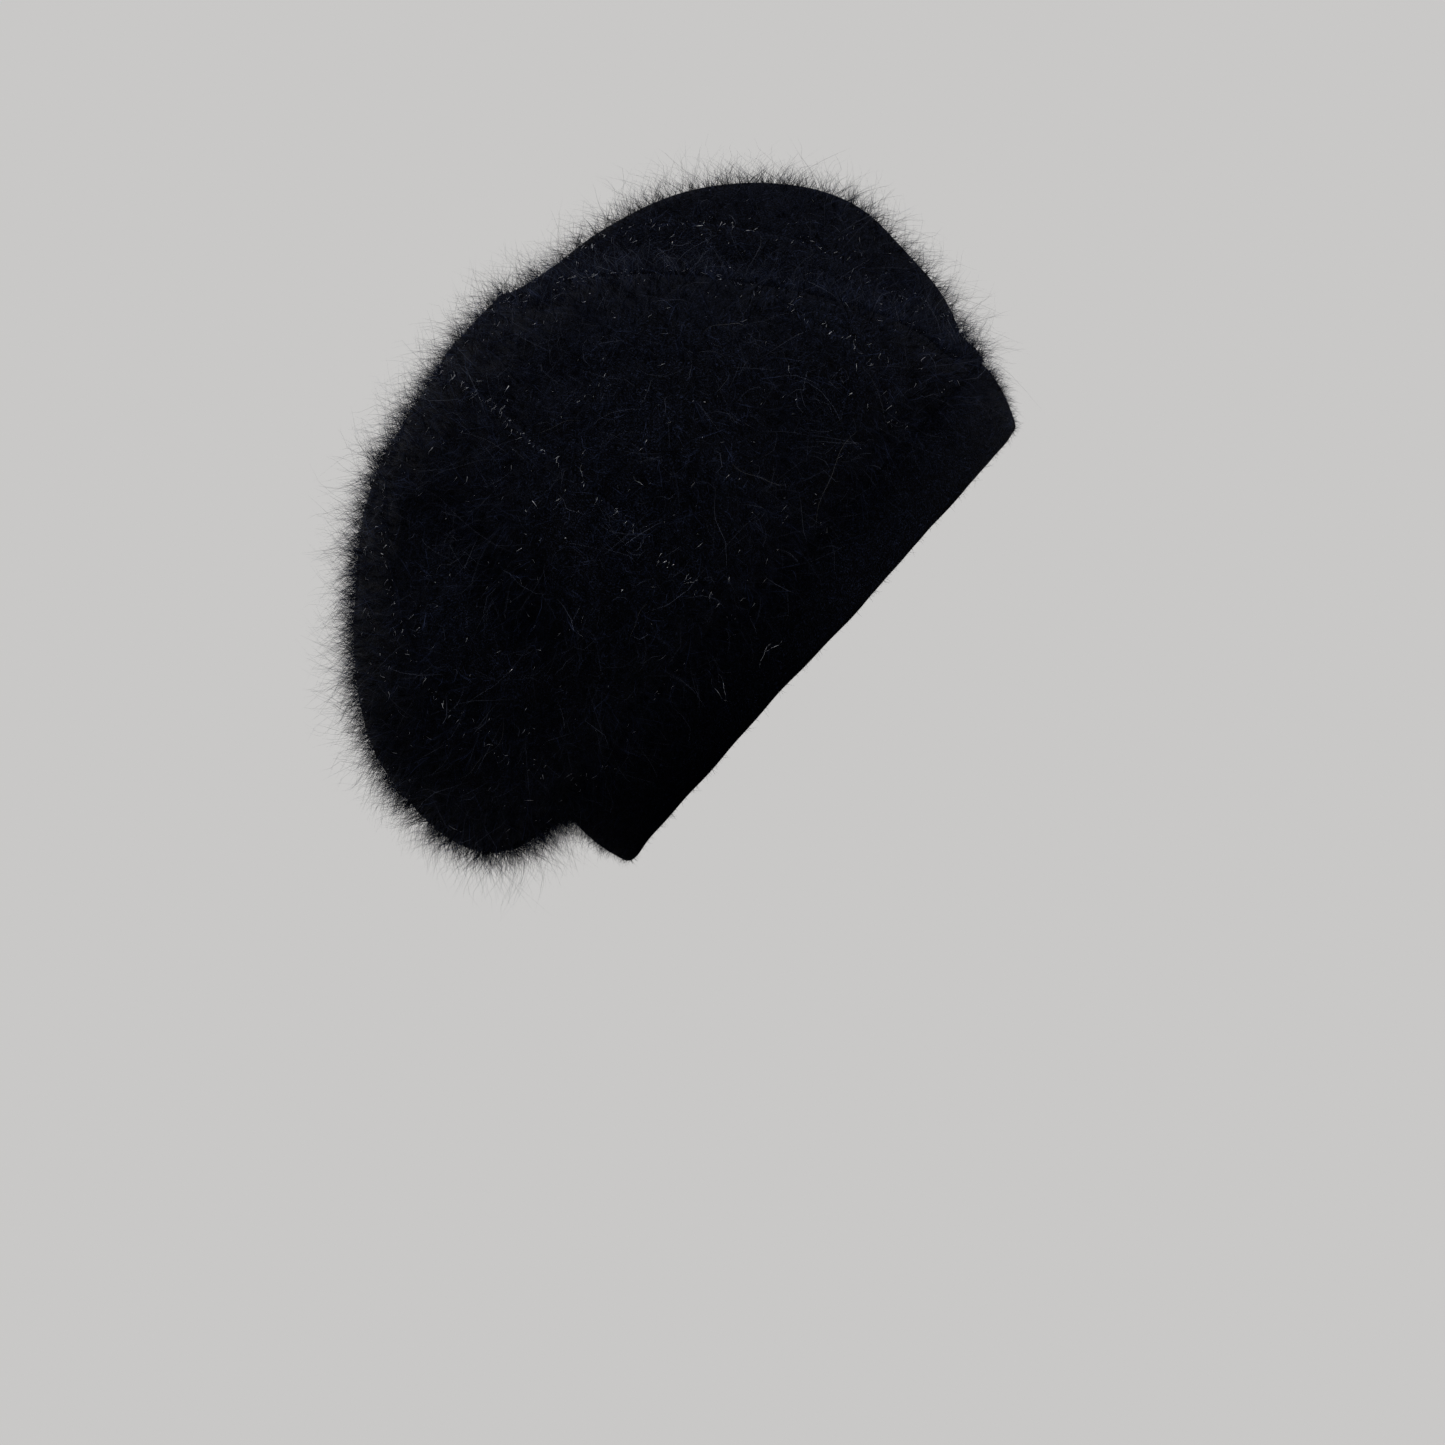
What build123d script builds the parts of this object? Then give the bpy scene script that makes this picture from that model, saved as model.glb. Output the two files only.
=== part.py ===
"""Knitted beret with a deep soft crown: eight gores linked to a folded band with an elastic inside.

Millimetres. +Z is the hat's own axis, up from the head. The band's lower edge lies in the plane z = 0
and the origin is the centre of the head opening. The front of the hat is -Y and the wearer's right is -X.
"""

from build123d import *
import math
import os

# --- head opening: outside of the band's lower edge, an oval for a head of about 57 cm
opening_length = 200.0
opening_width = 160.0

# --- knitted fabric
knit_layer = 2.2
crown_wall = 3.0

# --- band: one knitted tube folded in half with the fold at the bottom, leaning outwards to its top
band_height = 24.0
band_front_lean = 8.5
band_back_lean = 2.0
band_side_lean = 3.5
fold_radius = 1.6
fold_slack = 1.4

# --- elastic tape lying in the fold of the band
elastic_thickness = 1.2
elastic_width = 12.0

# --- linked seams: thread and selvedges, standing inwards as a low ridge
seam_width = 1.4
seam_ridge = 2.0

# --- crown: how far it hangs out past the band's top edge, and how high it stands
front_overhang = 16.0
back_overhang = 32.5
side_overhang = 32.5
crown_height = 164.0
gore_count = 8
crown_centre_back = 15.0
closing_radius = 7.0

# --- soft fold that runs up from the front, between a lower lobe on the wearer's right and a higher dome
fold_depth = 0.63
fold_angle = -19.5
lobe_spread = 8.5
lobe_widening = 32.5
dome_spread = 25.0
fold_full_share = 0.82
fold_end_power = 20

# --- labels: blank woven size label at the back, blank satin care label on the left
label_length = 50.0
label_height = 15.0
label_thickness = 0.5
care_width = 25.0
care_length = 19.0
care_thickness = 0.3
stitch_thickness = 0.3
stitch_width = 1.2
stitch_inset = 1.5

outline_points = 28
reach = 2 * (opening_length + crown_height)

band_wall = 2 * knit_layer + elastic_thickness
band_top = band_height
crown_base = band_top + seam_width
lean_top = 1 + seam_width / band_height
rim_front = opening_length / 2 + band_front_lean * lean_top
rim_back = opening_length / 2 + band_back_lean * lean_top
rim_side = opening_width / 2 + band_side_lean * lean_top

# Share of the crown's height above the band, then of its fullest reach to the front, back and side.
crown_stations = [
    (0.04, 0.890, 0.860, 0.820),
    (0.10, 0.910, 0.945, 0.905),
    (0.20, 0.946, 0.992, 0.970),
    (0.33, 0.976, 1.000, 1.000),
    (0.47, 1.000, 0.960, 0.985),
    (0.60, 0.962, 0.872, 0.920),
    (0.72, 0.872, 0.750, 0.810),
    (0.82, 0.750, 0.624, 0.670),
    (0.90, 0.582, 0.500, 0.505),
    (0.96, 0.340, 0.305, 0.315),
    (1.00, 0.150, 0.120, 0.140),
]


def fold_pull(angle, share):
    """How much of its reach the knit keeps at this angle from the front and share of the height."""
    away = math.degrees(angle) - fold_angle
    spread = dome_spread if away > 0 else lobe_spread + lobe_widening * share
    start = math.sin(math.pi / 2 * min(1, share / fold_full_share))
    end = 1 - share**fold_end_power
    return 1 - fold_depth * start * end * math.exp(-((away / spread) ** 2))


def outline(height, front, back, side, share=0.0):
    """A closed horizontal curve of the hat; front and back are distances from the opening's centre."""
    half = (front + back) / 2
    middle = (back - front) / 2
    angles = [2 * math.pi * (step + 0.5) / outline_points - math.pi for step in range(outline_points)]
    furthest = max(math.cos(a) * fold_pull(a, share) for a in angles)
    points = []
    for a in angles:
        pull = fold_pull(a, share)
        along = half * math.cos(a) * pull
        if along > 0:
            along = along / furthest
        points.append((side * math.sin(a) * pull, middle - along, height))
    return make_face(Spline(points, periodic=True))


def band_outline(height, inset):
    """The band's curve at a height, drawn in from its outer face by the inset."""
    lean = height / band_height
    return outline(
        height,
        opening_length / 2 + band_front_lean * lean - inset,
        opening_length / 2 + band_back_lean * lean - inset,
        opening_width / 2 + band_side_lean * lean - inset,
    )


def band_ring(outer_inset, inner_inset, low=0.0, high=band_top):
    """A ring of the band between two insets, over its whole height unless told otherwise."""
    outer = loft([band_outline(low, outer_inset), band_outline(high, outer_inset)], ruled=True)
    inner = loft([band_outline(low, inner_inset), band_outline(high, inner_inset)], ruled=True)
    return outer - inner


def crown_solid(inset):
    """The solid inside the crown's skin, drawn in square to the skin by the inset."""
    stations = [(0.0, rim_front, rim_back, rim_side)]
    front = rim_front + front_overhang
    back = rim_back + back_overhang
    side = rim_side + side_overhang
    for share, front_share, back_share, side_share in crown_stations:
        stations.append((share, front * front_share, back * back_share, side * side_share))
    rise = crown_height - crown_base
    sections = []
    for place, (share, to_front, to_back, to_side) in enumerate(stations):
        below = stations[max(place - 1, 0)]
        above = stations[min(place + 1, len(stations) - 1)]
        climb = (above[0] - below[0]) * rise
        widening = sum(above[1:]) / 3 - sum(below[1:]) / 3
        slant = math.hypot(climb, widening)
        inwards = inset * climb / slant
        upwards = inset * widening / slant
        if place == 0:
            inwards = inset
            upwards = 0.0
        height = crown_base + share * rise + upwards
        sections.append(
            outline(height, to_front - inwards, to_back - inwards, to_side - inwards, share)
        )
    return loft(sections)


def turned(shape, degrees):
    """The shape moved to the crown's centre and turned about the upright axis there."""
    return Pos(0, crown_centre_back, 0) * Rot(0, 0, degrees) * shape


def gore_sector():
    """The upright wedge that one gore fills, clear of the seams on both sides, about the +X axis."""
    half_angle = 180 / gore_count
    tip = Vector(seam_width / 2 / math.sin(math.radians(half_angle)), 0, 0)
    side = Vector(reach, 0, 0)
    corners = [tip, tip + side.rotate(Axis.Z, -half_angle), tip + side.rotate(Axis.Z, half_angle)]
    return extrude(make_face(Polyline(corners, close=True)), crown_height * 2)


def seam_slab():
    """The upright slab that one seam fills, from the centre outwards along +X."""
    return Pos(reach / 2, 0, crown_height) * Box(reach, seam_width, crown_height * 2)


def back_slab(width, low, high):
    """A box round the back of the band, between two heights."""
    return Pos(0, reach / 2, (low + high) / 2) * Box(width, reach, high - low)


def left_slab(width, low, high):
    """A box round the wearer's left side of the band, between two heights."""
    return Pos(reach / 2, 0, (low + high) / 2) * Box(reach, width, high - low)


def rounded_fold(tube):
    """The band's tube with its folded lower edge rounded inside and out."""
    radius = min(fold_radius, band_wall / 2 - 0.2)
    return fillet(tube.edges().group_by(Axis.Z)[0], radius)


def save(name, shape):
    """Write one named piece."""
    export_step(shape, os.path.join("parts", name + ".step"))


os.makedirs("parts", exist_ok=True)

# Crown: the skin is cut into equal gores about its centre, with a linked seam in every gap.
crown_outside = crown_solid(0)
crown_inside = crown_solid(crown_wall)
crown_within_ridges = crown_solid(crown_wall + seam_ridge)
closing_post = Pos(0, crown_centre_back, crown_height) * Cylinder(closing_radius, crown_height)


def skin_cut(zone, inside):
    """The part of the crown's skin, or of skin and ridge, that lies in an upright zone."""
    return (crown_outside & zone) - (inside & zone)


for number in range(gore_count):
    seam_angle = 360 / gore_count * number
    sector = turned(gore_sector(), seam_angle + 180 / gore_count)
    save(f"crown_gore_{number + 1}", skin_cut(sector, crown_inside) - closing_post)
    slab = turned(seam_slab(), seam_angle)
    save(f"gore_seam_{number + 1}", skin_cut(slab, crown_within_ridges) - closing_post)

# The last stitches of every gore are drawn together into a small disc at the crown's centre.
save("crown_closing", skin_cut(closing_post, crown_within_ridges))

# Band: folded tube, joined at the back, round its elastic.
elastic_low = fold_radius + fold_slack
elastic_zone = Pos(0, 0, elastic_low + elastic_width / 2) * Box(reach, reach, elastic_width)
elastic = band_ring(knit_layer, knit_layer + elastic_thickness) & elastic_zone
tube = rounded_fold(band_ring(0, band_wall)) - elastic
back_gap = back_slab(seam_width, 0, band_top)
save("band", tube - back_gap)
save("band_back_seam", tube & back_gap)
save("band_elastic", elastic)

# Linked seam between the band's top edge and the gores.
save("crown_band_seam", band_ring(0, band_wall + seam_ridge, band_top, crown_base))

# Blank woven label inside the back of the band, sewn down through both ends.
label_low = (band_top - label_height) / 2
label_high = label_low + label_height
label_zone = back_slab(label_length, label_low, label_high)
stitch_out = back_slab(label_length - 2 * stitch_inset, label_low + stitch_inset, label_high - stitch_inset)
stitch_in = back_slab(label_length - 2 * stitch_inset - 2 * stitch_width, label_low, label_high)
label_stitches = band_ring(band_wall, band_wall + label_thickness + stitch_thickness) & stitch_out
label_stitches = label_stitches - stitch_in
save("size_label", (band_ring(band_wall, band_wall + label_thickness) & label_zone) - label_stitches)
save("size_label_stitches", label_stitches)

# Blank satin care label hanging from the linked seam on the wearer's left, sewn through near its top.
care_zone = left_slab(care_width, band_top - care_length, band_top)
care_stitch_top = band_top - stitch_inset
care_stitch_zone = left_slab(care_width - 2 * stitch_inset, care_stitch_top - stitch_width, care_stitch_top)
care_stitches = band_ring(band_wall, band_wall + care_thickness + stitch_thickness) & care_stitch_zone
save("care_label", (band_ring(band_wall, band_wall + care_thickness) & care_zone) - care_stitches)
save("care_label_stitches", care_stitches)
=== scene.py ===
import math

import bpy
import numpy as np
from mathutils import Matrix, Vector
from mathutils.bvhtree import BVHTree


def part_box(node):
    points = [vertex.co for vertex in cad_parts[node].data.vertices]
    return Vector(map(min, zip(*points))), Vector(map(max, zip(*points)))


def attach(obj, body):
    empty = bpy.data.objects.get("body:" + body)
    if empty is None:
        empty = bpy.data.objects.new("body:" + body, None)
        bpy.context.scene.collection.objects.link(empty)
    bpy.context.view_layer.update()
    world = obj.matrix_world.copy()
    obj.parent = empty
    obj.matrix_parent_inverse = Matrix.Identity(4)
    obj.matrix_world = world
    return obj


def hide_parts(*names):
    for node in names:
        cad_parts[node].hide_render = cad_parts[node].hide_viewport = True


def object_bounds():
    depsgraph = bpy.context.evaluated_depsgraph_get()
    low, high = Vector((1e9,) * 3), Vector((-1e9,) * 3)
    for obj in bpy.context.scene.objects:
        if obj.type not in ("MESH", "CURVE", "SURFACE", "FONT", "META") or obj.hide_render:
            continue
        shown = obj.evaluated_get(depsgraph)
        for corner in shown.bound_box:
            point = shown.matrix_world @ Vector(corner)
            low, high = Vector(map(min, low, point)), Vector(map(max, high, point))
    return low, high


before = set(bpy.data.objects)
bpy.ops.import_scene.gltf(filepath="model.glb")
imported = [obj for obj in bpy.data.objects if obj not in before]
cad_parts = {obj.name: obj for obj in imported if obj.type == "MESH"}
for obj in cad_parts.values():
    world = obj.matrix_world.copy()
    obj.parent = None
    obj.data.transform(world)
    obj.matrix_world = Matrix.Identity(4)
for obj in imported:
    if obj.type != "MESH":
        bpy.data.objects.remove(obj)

cad_box = [list(corner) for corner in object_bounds()]

# ---------------------------------------------------------------- eye, floor and light
# The hat stands on a plain pale floor under three large soft boxes. The eye is on the hat's right, level
# with the floor, and leans so that the hat tips back in the picture as it does on a head.
lean_back = math.radians(48)
eye_distance = 1.4
seen_width = 0.498
sensor_width = 36
aim = Vector((0, 0.0429, 0.0082))
floor_height = -0.003
picture_up = Vector((0, -math.sin(lean_back), math.cos(lean_back)))
picture_left = Vector((0, math.cos(lean_back), math.sin(lean_back)))


def facing(place, target, up):
    """The turn that points a camera or a lamp from a place to a target."""
    back = (place - target).normalized()
    right = up.cross(back).normalized()
    return Matrix((right, back.cross(right), back)).transposed().to_quaternion()


def linear(colour):
    """The linear value of a hex sRGB colour."""
    parts = [int(colour[i : i + 2], 16) / 255 for i in (1, 3, 5)]
    return [c / 12.92 if c <= 0.04045 else ((c + 0.055) / 1.055) ** 2.4 for c in parts] + [1.0]


def put(tree, kind, inputs=(), **settings):
    """Adds a node; inputs maps a socket's name or number to a value or to the socket that feeds it."""
    made = tree.nodes.new(kind)
    for name, value in settings.items():
        setattr(made, name, value)
    for place, value in dict(inputs).items():
        if isinstance(value, bpy.types.NodeSocket):
            tree.links.new(value, made.inputs[place])
        else:
            made.inputs[place].default_value = value
    return made


eye_place = Vector((-eye_distance, aim.y, floor_height))
bpy.ops.object.camera_add(location=eye_place)
eye = bpy.context.object
eye.name = "eye"
eye.rotation_mode = "QUATERNION"
eye.rotation_quaternion = facing(eye_place, aim, picture_up)
eye.data.sensor_width = sensor_width
eye.data.lens = sensor_width * eye_distance / seen_width
bpy.context.scene.camera = eye
bpy.context.scene.view_settings.view_transform = "Standard"

bpy.ops.mesh.primitive_circle_add(vertices=96, radius=4, fill_type="NGON", location=(0, 0, floor_height))
floor = bpy.context.object
floor.name = "studio_floor"
paper = bpy.data.materials.new("matt_studio_paper")
paper.use_nodes = True
paper.node_tree.nodes["Principled BSDF"].inputs["Base Color"].default_value = linear("#d9d8d6")
paper.node_tree.nodes["Principled BSDF"].inputs["Roughness"].default_value = 0.9
floor.data.materials.append(paper)

room = bpy.data.worlds.new("pale_room")
bpy.context.scene.world = room
room.use_nodes = True
sky = room.node_tree
sky.nodes.clear()
ray = put(sky, "ShaderNodeLightPath")
soft = put(sky, "ShaderNodeBackground", {"Color": linear("#cdd6ee"), "Strength": 0.13})
wall = put(sky, "ShaderNodeBackground", {"Color": linear("#c9c8c7"), "Strength": 1.0})
to_camera = ray.outputs["Is Camera Ray"]
seen = put(sky, "ShaderNodeMixShader", {0: to_camera, 1: soft.outputs[0], 2: wall.outputs[0]})
put(sky, "ShaderNodeOutputWorld", {"Surface": seen.outputs[0]})


def soft_box(name, place, size, power):
    """A square studio lamp that faces the hat."""
    bpy.ops.object.light_add(type="AREA", location=place)
    lamp = bpy.context.object
    lamp.name = name
    lamp.data.size = size
    lamp.data.energy = power
    lamp.rotation_mode = "QUATERNION"
    lamp.rotation_quaternion = facing(Vector(place), Vector((0, 0, 0.08)), Vector((0, 1, 0.3)))


near_side = Vector((-1, 0, 0))
soft_box("key_box", (picture_left * 0.2 + picture_up * 1.0 + near_side * 0.5) * 1.2, 0.6, 14)
soft_box("fill_box", (picture_up * 0.7 - picture_left * 0.7 + near_side * 0.4) * 1.3, 0.9, 4)
soft_box("far_box", Vector((1.2, 0.3, 0.9)), 0.9, 9)

# ---------------------------------------------------------------- crown: shape of the hanging knit
# The crown is a deep pouch of thick fluffy knit. Its skin is measured off the frame's crown and hangs a
# little by its own weight, held firmly at the band and loosely all over. Its soft folds are pushed in after.
gore_count = 8
gore_columns = 16
crown_rows = 60
knit_thickness = 0.003
closing_radius = 0.007
heart = Vector((0, 0.015, 0.072))
gore_nodes = [f"crown_gore_{n + 1}" for n in range(gore_count)]
seam_nodes = [f"gore_seam_{n + 1}" for n in range(gore_count)]


def cad_faces(*names):
    """A tree of the named frame pieces' faces, to measure their outer skin by."""
    points, faces = [], []
    for name in names:
        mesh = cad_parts[name].data
        first = len(points)
        points.extend(v.co.copy() for v in mesh.vertices)
        faces.extend([first + i for i in f.vertices] for f in mesh.polygons)
    return BVHTree.FromPolygons(points, faces)


crown_faces = cad_faces("crown_closing", *gore_nodes, *seam_nodes)
crown_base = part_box("crown_gore_1")[0].z
crown_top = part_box("crown_closing")[1].z
outside = 0.4
rim_lift = 0.0004
rim_drop = 0.0008
most_sag = 0.006
hanging_moments = 25
held_rows = 4
loose_grip = 0.2


def outer_point(faces, target, direction):
    """Where a line from far outside towards the target first meets the skin."""
    found = faces.ray_cast(target + direction * outside, -direction)
    return found[0]


def crown_shape():
    """The crown's outer skin as rows from the band up and columns round the hat, a column on every seam."""
    columns = gore_count * gore_columns
    shape = np.zeros((crown_rows + 1, columns, 3))
    top_slope = math.atan2(crown_top - heart.z, closing_radius)
    for column in range(columns):
        angle = 2 * math.pi * (column + 0.01) / columns
        level = Vector((math.cos(angle), math.sin(angle), 0))
        foot = Vector((heart.x, heart.y, crown_base + rim_lift))
        rim = outer_point(crown_faces, foot, level)
        rim_slope = math.atan2(crown_base - heart.z, (rim - foot).length)
        shape[0, column] = rim - Vector((0, 0, rim_lift + rim_drop))
        for row in range(1, crown_rows + 1):
            slope = rim_slope + (top_slope - rim_slope) * row / crown_rows
            direction = level * math.cos(slope) + Vector((0, 0, math.sin(slope)))
            shape[row, column] = outer_point(crown_faces, heart, direction)
    return shape


def quads(rows, columns):
    """The faces of a grid of points that closes on itself along its columns."""
    faces = []
    for row in range(rows - 1):
        for column in range(columns):
            low, low_next = row * columns + column, row * columns + (column + 1) % columns
            faces.append([low, low_next, low_next + columns, low + columns])
    return faces


def let_hang(shape, most):
    """The shape after the knit has hung for a while under its weight; no point moves further than most."""
    rows, columns = shape.shape[:2]
    mesh = bpy.data.meshes.new("hanging_knit")
    mesh.from_pydata(shape.reshape(-1, 3).tolist(), [], quads(rows, columns))
    hanging = bpy.data.objects.new("hanging_knit", mesh)
    bpy.context.scene.collection.objects.link(hanging)
    held = hanging.vertex_groups.new(name="held")
    for row in range(rows):
        grip = max(loose_grip, 1 - row / held_rows)
        held.add([row * columns + c for c in range(columns)], grip, "REPLACE")
    cloth = hanging.modifiers.new("hang", "CLOTH")
    knit = cloth.settings
    knit.quality = 6
    knit.mass = 0.1
    knit.air_damping = 5
    knit.tension_stiffness = 15
    knit.compression_stiffness = 15
    knit.shear_stiffness = 5
    knit.bending_stiffness = 10
    knit.vertex_group_mass = "held"
    knit.pin_stiffness = 1.0
    knit.shrink_min = -0.015
    # Down is where it is for a hat tipped back on a head, not the hat's own axis.
    scene = bpy.context.scene
    scene.gravity = -9.81 * picture_up
    for moment in range(1, hanging_moments + 1):
        scene.frame_set(moment)
    after = hanging.evaluated_get(bpy.context.evaluated_depsgraph_get()).to_mesh()
    settled = np.zeros(len(after.vertices) * 3)
    after.vertices.foreach_get("co", settled)
    bpy.data.objects.remove(hanging)
    moved = settled.reshape(rows, columns, 3) - shape
    far = np.linalg.norm(moved, axis=2, keepdims=True)
    return shape + moved * np.minimum(1, most / np.maximum(far, 1e-9))


def grid_normals(shape):
    """Outward directions of a grid of points that closes on itself along its columns."""
    around = np.roll(shape, -1, axis=1) - np.roll(shape, 1, axis=1)
    upward = np.gradient(shape, axis=0)
    across = np.cross(around, upward)
    return across / np.maximum(np.linalg.norm(across, axis=2, keepdims=True), 1e-9)


# Soft ridges (+) and dents (-) in the knit: two ends, reach from the line between them, and height.
soft_folds = [
    ((-0.110, 0.021, 0.112), (-0.106, 0.044, 0.067), 0.012, 0.0080),
    ((-0.085, 0.062, 0.125), (-0.100, 0.067, 0.080), 0.014, -0.0140),
    ((-0.095, -0.066, 0.074), (-0.108, -0.027, 0.036), 0.014, -0.0080),
    ((-0.095, -0.030, 0.075), (-0.100, -0.005, 0.045), 0.016, 0.0030),
    ((-0.070, -0.020, 0.135), (-0.095, -0.035, 0.110), 0.014, 0.0025),
    ((-0.080, 0.090, 0.060), (-0.050, 0.115, 0.085), 0.014, -0.0035),
    ((-0.020, 0.125, 0.060), (0.030, 0.125, 0.095), 0.016, -0.0030),
    ((0.100, 0.020, 0.110), (0.112, 0.040, 0.060), 0.014, -0.0040),
    ((0.105, -0.040, 0.100), (0.110, -0.030, 0.055), 0.014, 0.0030),
    ((0.060, 0.085, 0.120), (0.090, 0.085, 0.070), 0.014, 0.0025),
    ((0.040, -0.090, 0.120), (0.065, -0.095, 0.075), 0.014, -0.0030),
    ((-0.064, -0.072, 0.098), (-0.042, -0.042, 0.146), 0.034, -0.0065),
]


def push_folds(shape):
    """The shape with the soft ridges and dents pushed into it."""
    outward = grid_normals(shape)
    lifted = shape.copy()
    for start, end, spread, height in soft_folds:
        start, along = np.array(start), np.array(end) - np.array(start)
        share = np.clip(((shape - start) @ along) / (along @ along), 0, 1)[..., None]
        away = np.linalg.norm(shape - start - share * along, axis=2, keepdims=True)
        lifted += outward * height * np.exp(-((away / spread) ** 2))
    lifted[0] = shape[0]
    return lifted


crown = crown_shape()
crown = let_hang(crown, most_sag)
crown = push_folds(crown)
crown_outward = grid_normals(crown)

# ---------------------------------------------------------------- angora knit
# Plain knit, stocking stitch, in an angora and wool yarn dyed blue-black. Light sinks between the loops, and
# this shade is painted into the colour as near black, so the loops show as rows of small soft Vs and the
# whole as near black with a little bloom at its edges.
stitch_width = 0.0017
stitch_height = 0.0013
# The darkest of these colours is painted shade, where light sinks between the loops and between the yarn's
# fibres. The worn colour is the knit's random worn patches, and on the linking yarn it is painted light on
# the raised fibres.
knit_colours = {"gap": "#000001", "loop": "#0b0e18", "worn_and_lit": "#151a2a", "fibre": "#3c4560"}


def angora_knit():
    """Stocking stitch drawn on the knit map, whose unit is a metre."""
    made = bpy.data.materials.new("angora_stocking_stitch")
    made.use_nodes = True
    tree = made.node_tree
    shader = tree.nodes["Principled BSDF"]
    cloth = put(tree, "ShaderNodeUVMap", uv_map="knit")
    body = put(tree, "ShaderNodeTexCoord")
    # The yarn's unevenness shifts each loop by part of a stitch.
    where = body.outputs["Object"]
    uneven = put(tree, "ShaderNodeTexNoise", {"Vector": where, "Scale": 260.0, "Detail": 3.0})
    centred = put(
        tree, "ShaderNodeVectorMath", {0: uneven.outputs["Color"], 1: (0.5, 0.5, 0.5)}, operation="SUBTRACT"
    )
    shifted = put(
        tree,
        "ShaderNodeVectorMath",
        {0: centred.outputs[0], 1: (stitch_width * 4.0, stitch_height * 4.0, 0), 2: cloth.outputs[0]},
        operation="MULTIPLY_ADD",
    )
    place = put(tree, "ShaderNodeSeparateXYZ", {0: shifted.outputs[0]})
    wale = put(tree, "ShaderNodeMath", {0: place.outputs[0], 1: stitch_width}, operation="DIVIDE")
    mirror = put(tree, "ShaderNodeMath", {0: wale.outputs[0], 1: 0.5}, operation="PINGPONG")
    # 0 in the middle of the V and 1 between two wales; each leg of the V is a bulge half way.
    leg = put(tree, "ShaderNodeMath", {0: mirror.outputs[0], 1: 2.0}, operation="MULTIPLY")
    leg_bulge = put(tree, "ShaderNodeMath", {0: leg.outputs[0], 1: math.pi}, operation="MULTIPLY")
    leg_round = put(tree, "ShaderNodeMath", {0: leg_bulge.outputs[0]}, operation="SINE")
    course = put(tree, "ShaderNodeMath", {0: place.outputs[1], 1: stitch_height}, operation="DIVIDE")
    slanted = put(
        tree, "ShaderNodeMath", {0: leg.outputs[0], 1: -0.8, 2: course.outputs[0]}, operation="MULTIPLY_ADD"
    )
    turn = put(tree, "ShaderNodeMath", {0: slanted.outputs[0], 1: math.pi}, operation="MULTIPLY")
    wave = put(tree, "ShaderNodeMath", {0: turn.outputs[0]}, operation="SINE")
    loop_round = put(tree, "ShaderNodeMath", {0: wave.outputs[0]}, operation="ABSOLUTE")
    loops = put(
        tree, "ShaderNodeMath", {0: leg_round.outputs[0], 1: loop_round.outputs[0]}, operation="MULTIPLY"
    )
    fibres = put(tree, "ShaderNodeTexNoise", {"Vector": where, "Scale": 2600.0, "Detail": 3.0})
    felted = put(
        tree,
        "ShaderNodeMath",
        {0: fibres.outputs["Fac"], 1: 0.6, 2: loops.outputs[0]},
        operation="MULTIPLY_ADD",
    )
    mottle = put(tree, "ShaderNodeTexNoise", {"Vector": where, "Scale": 55.0, "Detail": 4.0})
    patches = put(tree, "ShaderNodeMapRange", {0: mottle.outputs["Fac"], 1: 0.35, 2: 0.65})
    yarn = put(
        tree,
        "ShaderNodeMix",
        {0: patches.outputs[0], 6: linear(knit_colours["loop"]), 7: linear(knit_colours["worn_and_lit"])},
        data_type="RGBA",
    )
    # Painted shade: the colour sinks to near black wherever the loop height is low, the same height that
    # drives the bump.
    depth = put(tree, "ShaderNodeMapRange", {0: felted.outputs[0], 1: 0.50, 2: 1.20})
    lit = put(tree, "ShaderNodeMath", {0: depth.outputs[0], 1: 3.0}, operation="POWER")
    shaded_knit = put(
        tree,
        "ShaderNodeMix",
        {0: lit.outputs[0], 6: linear(knit_colours["gap"]), 7: yarn.outputs[2]},
        data_type="RGBA",
    )
    # Stray fibres lie over the loops as fine curling lines, where the noise crosses its middle value.
    swirl = put(
        tree, "ShaderNodeTexNoise", {"Vector": where, "Scale": 420.0, "Detail": 1.0, "Distortion": 2.5}
    )
    offset = put(tree, "ShaderNodeMath", {0: swirl.outputs["Fac"], 1: 0.5}, operation="SUBTRACT")
    near = put(tree, "ShaderNodeMath", {0: offset.outputs[0]}, operation="ABSOLUTE")
    line = put(tree, "ShaderNodeMapRange", {0: near.outputs[0], 1: 0.0, 2: 0.022, 3: 1.0, 4: 0.0})
    shown = put(tree, "ShaderNodeMath", {0: line.outputs[0], 1: fibres.outputs["Fac"]}, operation="MULTIPLY")
    colour = put(
        tree,
        "ShaderNodeMix",
        {0: shown.outputs[0], 6: shaded_knit.outputs[2], 7: linear(knit_colours["fibre"])},
        data_type="RGBA",
    )
    bump = put(tree, "ShaderNodeBump", {"Height": felted.outputs[0], "Distance": 0.0009, "Strength": 1.0})
    tree.links.new(colour.outputs[2], shader.inputs["Base Color"])
    tree.links.new(bump.outputs[0], shader.inputs["Normal"])
    shader.inputs["Roughness"].default_value = 0.85
    shader.inputs["Specular IOR Level"].default_value = 0.05
    shader.inputs["Sheen Weight"].default_value = 0.012
    shader.inputs["Sheen Roughness"].default_value = 0.6
    shader.inputs["Sheen Tint"].default_value = linear("#8f95b0")
    return made


knit_material = angora_knit()

# ---------------------------------------------------------------- crown gores
# Eight shaped panels of knit, narrowing to the crown's centre. Each fills a little between its seams, and
# its selvedges dip into them. The wales run along each gore's middle, so they meet the seams at a slant.
selvedge_dip = 0.0002
selvedge_gap = 0.0003
gore_fill = 0.0003


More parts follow.
